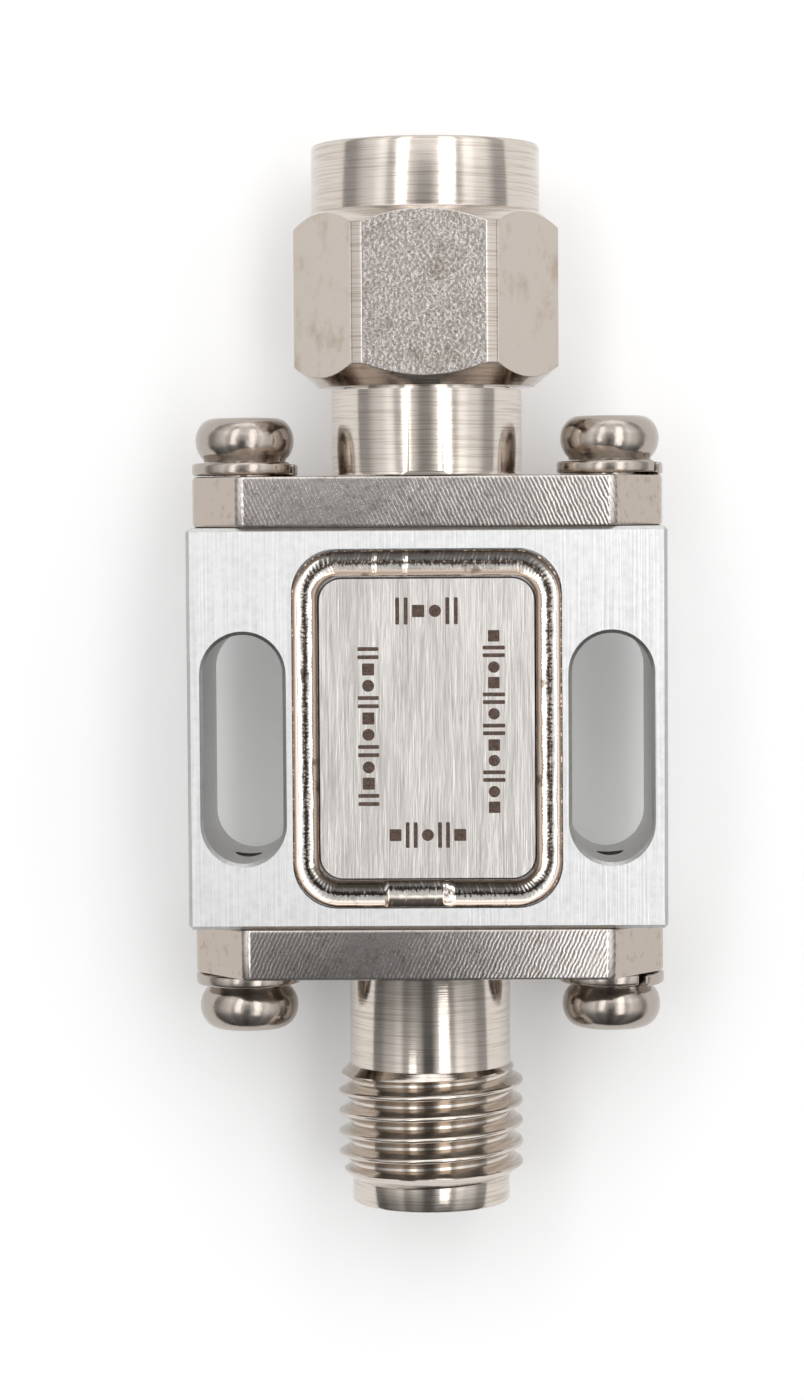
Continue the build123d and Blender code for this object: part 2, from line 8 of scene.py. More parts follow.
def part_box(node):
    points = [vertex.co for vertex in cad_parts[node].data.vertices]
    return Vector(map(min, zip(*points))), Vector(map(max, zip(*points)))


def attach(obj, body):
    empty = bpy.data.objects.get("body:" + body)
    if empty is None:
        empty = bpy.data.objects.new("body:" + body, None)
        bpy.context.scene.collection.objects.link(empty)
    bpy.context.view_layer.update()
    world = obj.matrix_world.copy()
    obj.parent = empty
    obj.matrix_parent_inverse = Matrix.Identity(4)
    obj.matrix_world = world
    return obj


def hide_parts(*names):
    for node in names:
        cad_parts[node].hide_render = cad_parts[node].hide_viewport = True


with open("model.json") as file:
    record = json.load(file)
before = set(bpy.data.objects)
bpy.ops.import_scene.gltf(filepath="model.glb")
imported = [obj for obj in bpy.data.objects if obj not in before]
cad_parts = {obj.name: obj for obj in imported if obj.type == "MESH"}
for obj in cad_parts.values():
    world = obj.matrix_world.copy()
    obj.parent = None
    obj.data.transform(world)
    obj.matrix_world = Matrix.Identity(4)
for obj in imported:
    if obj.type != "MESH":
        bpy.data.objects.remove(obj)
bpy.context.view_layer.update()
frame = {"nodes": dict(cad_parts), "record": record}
nodes = frame["nodes"]
print("frame loaded,", len(nodes), "nodes")

mm = 0.001
axisHeight = (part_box("housing")[0].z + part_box("housing")[1].z) / 2  # the connector axis, along Y


def linearColour(hexCode):
    # an sRGB hex code as the linear colour that a shader socket takes
    channels = [int(hexCode[i:i + 2], 16) / 255 for i in (1, 3, 5)]
    return tuple(c / 12.92 if c <= 0.04045 else ((c + 0.055) / 1.055) ** 2.4 for c in channels) + (1.0,)


def setInputs(tree, node, inputs):
    # each socket takes a value, a node's first output or another output
    for name, value in inputs.items():
        if isinstance(value, bpy.types.Node):
            value = value.outputs[0]
        if isinstance(value, bpy.types.NodeSocket):
            tree.links.new(value, node.inputs[name])
        else:
            node.inputs[name].default_value = value


def addNode(tree, kind, inputs=None, stops=(), **settings):
    # adds a node with its inputs, a ramp's stops as (position, colour), and its other settings
    node = tree.nodes.new("ShaderNode" + kind)
    for name, value in settings.items():
        setattr(node, name, value)
    for number, (position, colour) in enumerate(stops):
        elements = node.color_ramp.elements
        stop = elements[number] if number < 2 else elements.new(position)
        stop.position = position
        stop.color = linearColour(colour) if isinstance(colour, str) else colour
    setInputs(tree, node, inputs or {})
    return node


def toMesh(shape, name):
    # a finished shape as a mesh; the shape itself is let go
    mesh = bpy.data.meshes.new(name)
    shape.to_mesh(mesh)
    shape.free()
    return mesh


def addObject(name, data):
    added = bpy.data.objects.new(name, data)
    bpy.context.scene.collection.objects.link(added)
    return added


# Camera

photoCamera = {
    "place": (1.794, 7.537, 121.05),  # mm from the middle of the housing, on the connector axis
    "tilt": (0.05569, -0.02223, 0.00538),  # turns about its own X, Y and Z, in radians
    "focalPixels": 3553.1,
    "imageHeight": 1400,
    "sensor": 36.0,
}


def addCamera(s):
    camera = addObject("photoCamera", bpy.data.cameras.new("photoCamera"))
    camera.data.sensor_width = s["sensor"]
    camera.data.lens = s["focalPixels"] * s["sensor"] / s["imageHeight"]
    camera.data.clip_start = 1 * mm
    aboutX, aboutY, aboutZ = s["tilt"]
    turn = Matrix.Rotation(aboutX, 4, "X")
    turn = Matrix.Rotation(aboutZ, 4, "Z") @ Matrix.Rotation(aboutY, 4, "Y") @ turn
    place = Vector(s["place"]) * mm + Vector((0, 0, axisHeight))
    camera.matrix_world = Matrix.Translation(place) @ turn.inverted()
    bpy.context.scene.camera = camera


addCamera(photoCamera)
bpy.context.scene.view_settings.view_transform = "Standard"
print("camera placed")

# Floor, lights and the studio round them

floorSet = {
    "size": 1.6,  # m
    "below": 0.005,  # mm under the nut's lower flat
    "albedo": "#F2F2F2",
    "glow": 0.195,
}
softboxes = {
    # angles in degrees from straight above, as the light is seen from the object
    "rightBox": {"from": 14.0, "to": 30.0, "low": -27.0, "high": 50.0, "radiance": 1.72},
    "leftBox": {"from": -30.0, "to": -18.5, "low": -16.0, "high": 48.0, "radiance": 1.58},
}
roomTurn = radians(-4)  # the table stands a little askew under the lights
boxDistance = 0.45  # m
studio = {
    # how bright the room is, by degrees from straight above towards +X, and by the sine of the
    # slope towards +Y
    "across": [
        (-90, 0.42), (-76, 0.45), (-66, 0.85), (-54, 1.05), (-46, 1.5), (-41, 1.3), (-38, 0.7),
        (-31, 0.75), (-22, 1.15), (12, 1.15), (29, 0.9), (33, 0.7), (36, 0.8), (41, 1.6), (48, 1.5),
        (53, 1.17), (65, 1.05), (76, 0.5), (90, 0.5),
    ],
    "along": [
        (-1, 0.1), (-0.5, 0.3), (-0.3, 0.7), (-0.13, 0.95), (0.3, 1.0), (0.5, 1.3), (0.62, 1.05),
        (0.86, 1.0), (0.95, 1.7), (1, 1.9),
    ],
    # how far the camera shades it, by the same two
    "shadeAcross": [(-23, 0), (-14, 0.3), (-10, 0.65), (-7, 0.95), (4, 0.95), (7, 0.7), (12, 0)],
    "shadeAlong": [(-0.6, 0.6), (-0.2, 0.94), (-0.12, 0.9), (0.02, 0.7), (0.1, 0.62), (0.3, 0.5), (0.5, 0)],
    "brightest": 2.0,
    "level": 0.95,
}


def addFloor(s):
    shape = bmesh.new()
    bmesh.ops.create_grid(shape, x_segments=1, y_segments=1, size=s["size"] / 2)
    bmesh.ops.translate(shape, verts=shape.verts, vec=(0, 0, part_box("coupling_nut")[0].z - s["below"] * mm))
    floorObject = addObject("floor", toMesh(shape, "floor"))
    paint = bpy.data.materials.new("white table paper")  # matt and white, lit evenly
    paint.use_nodes = True
    tree = paint.node_tree
    tree.nodes.clear()
    rays = addNode(tree, "LightPath")
    seen = rays.outputs["Is Camera Ray"]
    for kind in ("Is Glossy Ray", "Is Transmission Ray"):
        seen = addNode(tree, "Math", {0: seen, 1: rays.outputs[kind]}, operation="MAXIMUM")
    level = addNode(tree, "Math", {0: seen, 1: s["glow"]}, operation="MULTIPLY")
    glow = addNode(tree, "Emission", {"Strength": level})
    matt = addNode(tree, "BsdfDiffuse", {"Color": linearColour(s["albedo"])})
    both = addNode(tree, "AddShader", {0: matt, 1: glow})
    addNode(tree, "OutputMaterial", {"Surface": both})
    floorObject.data.materials.append(paint)


def addSoftbox(name, s):
    # a soft light that fills the given angles, seen from the object
    d = boxDistance
    middle = radians((s["from"] + s["to"]) / 2)
    along = radians((s["low"] + s["high"]) / 2)
    lamp = bpy.data.lights.new(name, "AREA")
    lamp.shape = "RECTANGLE"
    lamp.size = 2 * d * tan(radians(s["to"] - s["from"]) / 2)
    lamp.size_y = 2 * d * tan(radians(s["high"] - s["low"]) / 2)
    lamp.energy = s["radiance"] * pi * lamp.size * lamp.size_y
    lampObject = addObject(name, lamp)
    direction = Vector((sin(middle) * cos(along), sin(along), cos(middle) * cos(along)))
    side = Vector((cos(middle), 0, -sin(middle)))
    up = direction.cross(side)
    facing = Matrix((side, up, direction)).transposed().to_4x4()
    turn = Matrix.Rotation(roomTurn, 4, "Z")
    lampObject.matrix_world = turn @ Matrix.Translation(direction * d + Vector((0, 0, axisHeight))) @ facing


def addStudio(s):
    # the room seen in the metal: the dark camera above, pale walls, a darker band near the floor
    world = bpy.data.worlds.new("studio")
    bpy.context.scene.world = world
    world.use_nodes = True
    tree = world.node_tree
    tree.nodes.clear()
    sight = addNode(tree, "TexCoord")
    turned = addNode(tree, "Mapping", {
        "Vector": sight.outputs["Generated"], "Rotation": (0, 0, -roomTurn)})
    parts = addNode(tree, "SeparateXYZ", {0: turned})
    angle = addNode(tree, "Math", {0: parts.outputs["X"], 1: parts.outputs["Z"]}, operation="ARCTAN2")
    levels = {}
    for name, source, reach, unit in (
        ("across", angle, 90, pi / 180), ("along", parts.outputs["Y"], 1, 1),
        ("shadeAcross", angle, 90, pi / 180), ("shadeAlong", parts.outputs["Y"], 1, 1),
    ):
        share = addNode(tree, "MapRange", {
            "Value": source, "From Min": -reach * unit, "From Max": reach * unit})
        stops = [((place / reach + 1) / 2, (bright / s["brightest"],) * 3 + (1,))
                 for place, bright in s[name]]
        levels[name] = addNode(tree, "ValToRGB", {0: share}, stops)
    shade = addNode(tree, "Math", {0: levels["shadeAcross"], 1: levels["shadeAlong"]},
                    operation="MULTIPLY")
    unshaded = addNode(tree, "Math", {0: shade, 1: -s["brightest"] ** 2, 2: 1.0},
                       operation="MULTIPLY_ADD")
    strength = addNode(tree, "Math", {0: levels["across"], 1: levels["along"]}, operation="MULTIPLY")
    for factor in (unshaded, s["level"] * s["brightest"] ** 2):
        strength = addNode(tree, "Math", {0: strength, 1: factor}, operation="MULTIPLY")
    rays = addNode(tree, "LightPath")
    room = addNode(tree, "Background", {"Color": (1, 1, 1, 1), "Strength": strength})
    plain = addNode(tree, "Background", {"Color": (1, 1, 1, 1), "Strength": 1.0})
    both = addNode(tree, "MixShader", {0: rays.outputs["Is Camera Ray"], 1: room, 2: plain})
    addNode(tree, "OutputWorld", {"Surface": both})


addFloor(floorSet)
for boxName, boxSet in softboxes.items():
    addSoftbox(boxName, boxSet)
addStudio(studio)
print("floor and lights ready")

# Materials


def startMaterial(name, s):
    # a principled shader, and Object coordinates in millimetres from the housing's middle
    material = bpy.data.materials.new(name)
    material.use_nodes = True
    tree = material.node_tree
    shader = tree.nodes["Principled BSDF"]
    shader.inputs["Base Color"].default_value = linearColour(s["colour"])
    shader.inputs["Metallic"].default_value = s.get("metal", 1.0)
    shader.inputs["Roughness"].default_value = s["roughness"]
    place = addNode(tree, "TexCoord")
    sized = addNode(tree, "Mapping", {
        "Vector": place.outputs["Object"],
        "Location": (0, 0, -axisHeight / mm),
        "Scale": (1 / mm, 1 / mm, 1 / mm),
    })
    return material, tree, shader, sized


def addSideToneAndShade(tree, shader, colour, tone):
    # faces that lean away from the lid's side take a darker tone: painted shade on the housing's walls, the
    # slot walls among them; the steel's sides come out darker and warmer
    surface = addNode(tree, "NewGeometry")
    facing = addNode(tree, "SeparateXYZ", {0: surface.outputs["Normal"]})
    share = addNode(tree, "MapRange", {
        "Value": facing.outputs["Z"], "From Min": 0.95, "From Max": 0.75})
    sideShaded = addNode(tree, "Mix", {0: share, 6: colour, 7: linearColour(tone)},
                   data_type="RGBA", blend_type="MULTIPLY")
    setInputs(tree, shader, {"Base Color": sideShaded.outputs[2]})


turnedSet = {
    "colour": "#D2C9C0",
    "furrow": "#BDB3A8",
    "roughness": 0.12,
    "toolMark": 0.06,  # mm between the tool's rings
    "toolRun": 2.5,  # mm round the surface before a ring changes
    "toolDepth": 0.0021,
    "uneven": 0.5,  # mm, the size of duller patches
}


def turnedSteel(s):
    # passivated stainless steel, turned: a warm grey mirror, drawn out along the axis by fine rings
    material, tree, shader, place = startMaterial("turned stainless steel", s)
    ringPlace = addNode(tree, "Mapping", {
        "Vector": place, "Scale": (1 / s["toolRun"], 1 / s["toolMark"], 1 / s["toolRun"])})
    rings = addNode(tree, "TexNoise", {"Vector": ringPlace, "Scale": 1.0, "Detail": 3.0})
    bump = addNode(tree, "Bump", {"Height": rings, "Distance": s["toolDepth"] * mm})
    patches = addNode(tree, "TexNoise", {"Vector": place, "Scale": 1 / s["uneven"], "Detail": 4.0})
    dull = addNode(tree, "MapRange", {
        "Value": patches, "From Min": 0.3, "From Max": 0.7,
        "To Min": s["roughness"] * 0.75, "To Max": s["roughness"] * 1.35,
    })
    shade = addNode(tree, "ValToRGB", {0: rings}, [(0.36, s["furrow"]), (0.52, s["colour"])])
    setInputs(tree, shader, {"Normal": bump, "Roughness": dull, "Base Color": shade})
    return material


flatSet = {
    "colour": "#CBC4BF",
    "roughness": 0.2,
    "grain": 0.12,  # mm
    "grainDepth": 0.0165,
    "stain": 1.3,  # mm
    "stainColour": "#B7ADA3",
    "sideToneAndShade": "#F2ECE5",
}


def rolledFlat(s):
    # stainless hexagon bar, rolled and tumbled: a fine irregular grain that sparkles towards the light
    material, tree, shader, place = startMaterial("rolled stainless flat", s)
    grain = addNode(tree, "TexNoise", {
        "Vector": place, "Scale": 1 / s["grain"], "Detail": 4.0, "Distortion": 1.0})
    bump = addNode(tree, "Bump", {"Height": grain, "Distance": s["grainDepth"] * mm})
    setInputs(tree, shader, {"Normal": bump})
    stains = addNode(tree, "TexNoise", {
        "Vector": place, "Scale": 1 / s["stain"], "Detail": 5.0, "Roughness": 0.65})
    shade = addNode(tree, "ValToRGB", {0: stains}, [(0.32, s["stainColour"]), (0.48, s["colour"])])
    addSideToneAndShade(tree, shader, shade, s["sideToneAndShade"])
    return material


milledSet = {
    "colour": "#CBC5C1",
    "roughness": 0.1,
    "crown": {-1: 0.0024, 1: 0.0044},  # mm of fall 1 mm from its top, growing with the square, at each end
    "crownTop": -2.5,  # mm across, where the crowned face is highest
    "cutterPitch": 0.13,  # mm between the cutter's lines
    "cutterDepth": {-1: 0.0036, 1: 0.0022},
    "cutterLean": 25,  # degrees from the connector axis
    "strongFrom": -8.0,  # mm across, where the lines start to be deep
    "strongTo": 5.0,
    "grain": 0.07,  # mm
    "grainDepth": {-1: 0.0062, 1: 0.0045},
    "patchesPerMm": 2.6,
    "patchColour": "#B8AFA8",
    "sideToneAndShade": "#E6DED6",
}


def milledFlange(name, s, way):
    # stainless plate, milled: leaning cutter lines that catch the light one by one, over a fine torn grain
    material, tree, shader, place = startMaterial(name, s)
    parts = addNode(tree, "SeparateXYZ", {0: place})
    fromTop = addNode(tree, "Math", {0: parts.outputs["X"], 1: s["crownTop"]}, operation="SUBTRACT")
    square = addNode(tree, "Math", {0: fromTop, 1: fromTop}, operation="MULTIPLY")
    crown = addNode(tree, "Bump", {"Height": square, "Distance": s["crown"][way] * mm},
                    invert=True)
    turned = addNode(tree, "Mapping", {
        "Vector": place, "Rotation": (0, 0, radians(way * s["cutterLean"]))})
    lines = addNode(tree, "TexWave", {
        "Vector": turned, "Scale": pi / 10 / s["cutterPitch"], "Distortion": 3.0, "Detail": 1.5,
        "Detail Scale": 1.5,
    })
    strong = addNode(tree, "MapRange", {
        "Value": parts.outputs["X"], "From Min": s["strongFrom"], "From Max": s["strongTo"],
        "To Min": 0.45, "To Max": 1.0,
    })
    where = addNode(tree, "TexNoise", {"Vector": place, "Scale": 0.8, "Detail": 2.0})
    depth = addNode(tree, "Math", {0: where, 1: strong}, operation="MULTIPLY")
    cut = addNode(tree, "Math", {0: lines.outputs["Fac"], 1: depth}, operation="MULTIPLY")
    coarse = addNode(tree, "Bump", {
        "Height": cut, "Distance": 2 * s["cutterDepth"][way] * mm, "Normal": crown})
    grain = addNode(tree, "TexNoise", {
        "Vector": place, "Scale": 1 / s["grain"], "Detail": 4.0, "Roughness": 0.7})
    fine = addNode(tree, "Bump", {
        "Height": grain, "Distance": s["grainDepth"][way] * mm, "Normal": coarse})
    setInputs(tree, shader, {"Normal": fine})
    patches = addNode(tree, "TexNoise", {
        "Vector": place, "Scale": s["patchesPerMm"], "Detail": 6.0, "Roughness": 0.7})
    shade = addNode(tree, "ValToRGB", {0: patches}, [(0.34, s["patchColour"]), (0.46, s["colour"])])
    addSideToneAndShade(tree, shader, shade, s["sideToneAndShade"])
    return material


housingSet = {
    "colour": "#F1F1F1",
    "roughness": 0.38,
    "lineWidth": 0.07,  # mm
    "lineLength": 6.0,
    "lineDepth": 0.007,
    "fleck": 0.25,  # mm
    "dark": "#EBEBEB",
    "light": "#FEFEFE",
    # painted shade: the side walls, the slot walls among them, are darkened
    "sideToneAndShade": "#CFCECC",
}


def milledAluminium(s):
    # aluminium, face-milled and rubbed along the axis: pale and matt, with faint straight lines; painted
    # shade darkens its side walls
    material, tree, shader, place = startMaterial("milled aluminium", s)
    stretched = addNode(tree, "Mapping", {
        "Vector": place, "Scale": (1 / s["lineWidth"], 1 / s["lineLength"], 1 / s["lineWidth"])})
    lines = addNode(tree, "TexNoise", {"Vector": stretched, "Scale": 1.0, "Detail": 3.0})
    flecks = addNode(tree, "TexNoise", {"Vector": place, "Scale": 1 / s["fleck"], "Detail": 4.0})
    both = addNode(tree, "Math", {0: flecks, 1: 0.5, 2: lines}, operation="MULTIPLY_ADD")
    bump = addNode(tree, "Bump", {"Height": both, "Distance": s["lineDepth"] * mm})
    setInputs(tree, shader, {"Normal": bump})
    shade = addNode(tree, "ValToRGB", {0: both}, [(0.55, s["dark"]), (0.85, s["light"])])
    addSideToneAndShade(tree, shader, shade, s["sideToneAndShade"])
    return material


lidSet = {
    "colour": "#DAD5D1",
    "roughness": 0.3,
    "streakWidth": 0.032,  # mm
    "streakLength": 2.6,
    "streakDepth": 0.008,
    "bandWidth": 0.35,
    "dark": "#D0CAC6",
    "light": "#EAE6E2",
}


def brushedLid(s):
    # aluminium lid, brushed along the axis: greyer than the housing, with short bright and dark streaks
    material, tree, shader, place = startMaterial("brushed aluminium", s)
    fineScale = addNode(tree, "Mapping", {
        "Vector": place, "Scale": (1 / s["streakWidth"], 1 / s["streakLength"], 1)})
    fine = addNode(tree, "TexNoise", {"Vector": fineScale, "Scale": 1.0, "Detail": 3.0})
    broadScale = addNode(tree, "Mapping", {
        "Vector": place, "Scale": (1 / s["bandWidth"], 0.4 / s["streakLength"], 1)})
    broad = addNode(tree, "TexNoise", {"Vector": broadScale, "Scale": 1.0, "Detail": 2.0})
    both = addNode(tree, "Math", {0: broad, 1: 0.8, 2: fine}, operation="MULTIPLY_ADD")
    bump = addNode(tree, "Bump", {"Height": fine, "Distance": s["streakDepth"] * mm})
    shade = addNode(tree, "ValToRGB", {0: both}, [(0.7, s["dark"]), (1.1, s["light"])])
    setInputs(tree, shader, {"Normal": bump, "Base Color": shade})
    return material


seamSet = {
    # mm, across the seam from its middle line, and along it; what lap holds is the overlap at its start
    "halfWidth": 0.43,
    "inset": 0.4175,  # of the middle line, from the solid ring's outside
    "corner": 1.15,
    "columns": 20,
    "height": -0.02,  # the rims, from the housing's front face
    "bowl": 0.5,
    "rimRise": (0.05, 0.1),  # at the lid and at the housing
    "rimPower": 8,
    "pulse": 0.14,
    "pulseDepth": 0.0045,
    "pulseBend": 0.35,
    "pulseJitter": 0.05,
    "wander": 0.035,
    "uneven": 0.006,
    "lap": {"from": -1.45, "fromRamp": 0.12, "to": 0.9, "toRamp": 0.4, "groove": -0.18, "ridge": 0.15,
            "depth": 0.55, "bulge": 0.095, "bead": 0.03, "shelf": 0.05, "uneven": 0.008,
            "rimGap": 0.012, "rimFall": 0.003},
    "strokes": (-1.73, -0.7),  # two raised marks across it
    "strokeRise": 0.02,
    "strokeWidth": 0.05,
}


weldFinish = {
    "colour": "#CFC3B6",
    "roughness": 0.07,
    # across the seam from the lid to the housing
    "tint": [(0.0, "#8C7E73"), (0.09, "#A59486"), (0.24, "#C4B5A8"), (0.32, "#F2ECE6"), (0.68, "#F8F3ED"),
             (0.78, "#F3E9DF"), (0.95, "#CDBAAA"), (1.0, "#84756A")],
    # dark brown: the soot spots, and the painted shade along the seam's middle
    "soot": "#4A3A32",
    "sootPerMm": 1.4,
    "teeth": (11.0, 5.0, 1.0),  # per mm along the seam, and over its width
    "grainPerMm": 14.0,
    "grainDepth": 0.0008,
}


def weldMetal(s):
    # laser-melted aluminium: mirror-smooth between its ripples, tinted brown by heat towards both rims, with
    # a painted dark line along its middle
    material, tree, shader, place = startMaterial("laser-welded metal", s)
    seam = addNode(tree, "UVMap", uv_map="seam")
    parts = addNode(tree, "SeparateXYZ", {0: seam})
    tint = addNode(tree, "ValToRGB", {0: parts.outputs["Y"]}, s["tint"])
    soot = addNode(tree, "TexNoise", {"Vector": place, "Scale": s["sootPerMm"], "Detail": 5.0})
    spots = addNode(tree, "MapRange", {
        "Value": soot, "From Min": 0.62, "From Max": 0.7, "To Min": 0.0, "To Max": 0.7})
    # painted shade along the middle, in dark soot-coloured teeth: it deepens the dark reflection of the
    # camera above there
    teethPlace = addNode(tree, "Mapping", {"Vector": seam, "Scale": s["teeth"]})
    teeth = addNode(tree, "TexNoise", {"Vector": teethPlace, "Scale": 1.0, "Detail": 1.0})
    across = addNode(tree, "Math", {0: parts.outputs["Y"], 1: 0.5}, operation="SUBTRACT")
    across = addNode(tree, "Math", {0: across}, operation="ABSOLUTE")
    reach = addNode(tree, "Math", {0: teeth, 1: -0.4, 2: across}, operation="MULTIPLY_ADD")
    paintedMiddleShade = addNode(tree, "MapRange", {
        "Value": reach, "From Min": -0.15, "From Max": -0.1, "To Min": 0.85, "To Max": 0.0})
    dark = addNode(tree, "Math", {0: spots, 1: paintedMiddleShade}, operation="MAXIMUM")
    mixed = addNode(tree, "Mix", {0: dark, 6: tint, 7: linearColour(s["soot"])}, data_type="RGBA")
    grain = addNode(tree, "TexNoise", {"Vector": place, "Scale": s["grainPerMm"], "Detail": 3.0})
    bump = addNode(tree, "Bump", {"Height": grain, "Distance": s["grainDepth"] * mm})
    setInputs(tree, shader, {"Normal": bump, "Base Color": mixed.outputs[2]})
    return material


screwFinish = {
    "colour": "#ADA49C",
    "roughness": 0.12,
    "dullest": 0.24,
    "peelPerMm": 2.2,
    "peelDepth": 0.012,  # mm
}


def screwSteel(s):
    # nickel-plated steel, headed and barrelled: a rounded dark mirror with a slight orange-peel
    material, tree, shader, place = startMaterial("nickel-plated steel", s)
    peel = addNode(tree, "TexNoise", {
        "Vector": place, "Scale": s["peelPerMm"], "Detail": 4.0, "Roughness": 0.6})
    bump = addNode(tree, "Bump", {"Height": peel, "Distance": s["peelDepth"] * mm})
    worn = addNode(tree, "MapRange", {
        "Value": peel, "From Min": 0.3, "From Max": 0.7, "To Min": s["roughness"], "To Max": s["dullest"]})
    setInputs(tree, shader, {"Normal": bump, "Roughness": worn})
    return material


markFinish = {
    "colour": "#46372F",
    "metal": 0.35,
    "roughness": 0.55,
    "light": "#6B584C",
    "speckPerMm": 12.0,
}


def laserMark(s):
    # laser-annealed metal: a matt dark brown film, a little uneven at its edges
    material, tree, shader, place = startMaterial("laser-darkened metal", s)
    speck = addNode(tree, "TexNoise", {"Vector": place, "Scale": s["speckPerMm"], "Detail": 3.0})
    shade = addNode(tree, "ValToRGB", {0: speck}, [(0.35, s["colour"]), (0.7, s["light"])])
    setInputs(tree, shader, {"Base Color": shade})
    return material


innerColumns = ("name", "dark", "colour", "metal", "roughness", "dullest", "grain", "depth")
innerFinishes = {
    # what the closed part hides; grain and depth in mm
    # waxy and a little see-through at its edges
    "ptfe": ("turned white PTFE", "#E4E4DF", "#F4F4F0", 0.0, 0.38, 0.5, 0.2, 0.001),
    # soft yellow mirror with tool marks
    "gold_plate": ("gold-plated beryllium copper", "#D9A441", "#EFC366", 1.0, 0.16, 0.28, 0.3, 0.0008),
    # drawn wire, brown and satin
    "spring_bronze": ("phosphor bronze", "#A9764B", "#C8935F", 1.0, 0.22, 0.36, 0.25, 0.001),
    # matt red, as moulded
    "silicone_rubber": ("moulded silicone rubber", "#A8392B", "#BD4A3A", 0.0, 0.5, 0.65, 0.15, 0.002),
    # cut sheet, pale with a weave
    "board_laminate": ("glass-filled PTFE laminate", "#B9B59F", "#CBC8B4", 0.0, 0.5, 0.62, 0.12, 0.002),
    # diced chip, dark mirror
    "diode_chip": ("polished silicon", "#3E4148", "#565B66", 0.6, 0.12, 0.2, 0.1, 0.0003),
    # fine tan grain
    "chip_ceramic": ("sintered ceramic", "#B59A78", "#CDB594", 0.0, 0.4, 0.55, 0.06, 0.001),
    # dull gold
    "seal_alloy": ("nickel-iron alloy, gold-flashed", "#C2A25B", "#D8BC7A", 1.0, 0.2, 0.34, 0.2, 0.0008),
    # dark and glossy, with a soft meniscus
    "seal_glass": ("fused glass", "#31424E", "#46596A", 0.0, 0.08, 0.14, 0.4, 0.001),
}


def innerFinish(s):
    material, tree, shader, place = startMaterial(s["name"], s)
    grain = addNode(tree, "TexNoise", {"Vector": place, "Scale": 1 / s["grain"], "Detail": 3.0})
    shade = addNode(tree, "ValToRGB", {0: grain}, [(0.35, s["dark"]), (0.65, s["colour"])])
    rough = addNode(tree, "MapRange", {
        "Value": grain, "From Min": 0.3, "From Max": 0.7, "To Min": s["roughness"], "To Max": s["dullest"]})
    bump = addNode(tree, "Bump", {"Height": grain, "Distance": s["depth"] * mm})
    setInputs(tree, shader, {"Normal": bump, "Roughness": rough, "Base Color": shade})
    return material


finishes = {slot: innerFinish(dict(zip(innerColumns, row))) for slot, row in innerFinishes.items()} | {
    "turned_steel": turnedSteel(turnedSet),
    "milled_aluminium": milledAluminium(housingSet),
    "brushed_lid": brushedLid(lidSet),
    "weld_metal": weldMetal(weldFinish),
    "nickel_plated_screw": screwSteel(screwFinish),
}
flatFinish = rolledFlat(flatSet)
flangeFinishes = {end: milledFlange(f"milled stainless flange, {end} end", milledSet, way)
                  for end, way in (("plug", -1), ("jack", 1))}
print("materials ready")

# Shapes: all are made in mm about the connector axis, with +Y away from the housing


def boxInMm(name):
    # a node's lowest and highest corners in mm from the connector axis
    return [(corner - Vector((0, 0, axisHeight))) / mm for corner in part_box(name)]


def shiftShape(shape, way, points=None):
    bmesh.ops.translate(shape, verts=points or shape.verts, vec=way)


def turnShape(shape, angle, axis, points=None):
    bmesh.ops.rotate(shape, verts=points or shape.verts, cent=(0, 0, 0),
                     matrix=Matrix.Rotation(angle, 3, axis))


def faceOut(shape):
    bmesh.ops.recalc_face_normals(shape, faces=shape.faces)


def softenEdges(shape, edges, width, segments=2):
    return bmesh.ops.bevel(shape, geom=edges, offset=width, segments=segments, profile=0.5,
                           affect="EDGES", material=-1)


def spunShape(outline, steps, angle, rise=0.0, closed=False):
    # takes (radius, distance) points about the connector axis, on by the rise at each step
    shape = bmesh.new()
    points = [shape.verts.new((0, along, radius)) for radius, along in outline]
    pairs = list(zip(points, points[1:])) + [(points[-1], points[0])] * closed
    lines = [shape.edges.new(pair) for pair in pairs]
    bmesh.ops.spin(shape, geom=points + lines, cent=(0, 0, 0), axis=(0, 1, 0), angle=angle, steps=steps,
                   dvec=(0, rise, 0), use_merge=not closed)
    if closed:
        bmesh.ops.holes_fill(shape, edges=shape.edges, sides=0)
    return shape


def turnedShape(outline, steps=192):
    shape = spunShape(outline, steps, 2 * pi)
    bmesh.ops.remove_doubles(shape, verts=shape.verts, dist=0.0005)
    faceOut(shape)
    return shape


def combined(base, other, how):
    # joins, cuts or crosses two shapes and returns the result as one shape
    items = [addObject("part", toMesh(shape, "part")) for shape in (base, other)]
    tool = items[0].modifiers.new("tool", "BOOLEAN")
    tool.operation = how
    tool.solver = "EXACT"
    tool.object = items[1]
    result = bmesh.new()
    result.from_object(items[0], bpy.context.evaluated_depsgraph_get())
    for item in items:
        bpy.data.objects.remove(item)
    return result


def newPiece(name, shape, materials, body, replaced=(), softEdge=0.0):
    # moves a shape to its place in metres and makes it a piece of the part
    bmesh.ops.scale(shape, verts=shape.verts, vec=(mm, mm, mm))
    shiftShape(shape, (0, 0, axisHeight))
    mesh = toMesh(shape, name)
    for material in materials:
        mesh.materials.append(material)
    mesh.shade_smooth()
    mesh.set_sharp_from_angle(angle=radians(30))
    piece = addObject(name, mesh)
    if softEdge:
        edge = piece.modifiers.new("softEdge", "BEVEL")
        edge.width = softEdge * mm
        edge.segments = 2
        edge.limit_method = "ANGLE"
        edge.angle_limit = radians(28)
        edge.harden_normals = True
        edge.material = 1
    normals = piece.modifiers.new("normals", "WEIGHTED_NORMAL")
    normals.keep_sharp = True
    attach(piece, body)
    if replaced:
        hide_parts(*replaced)
    return piece


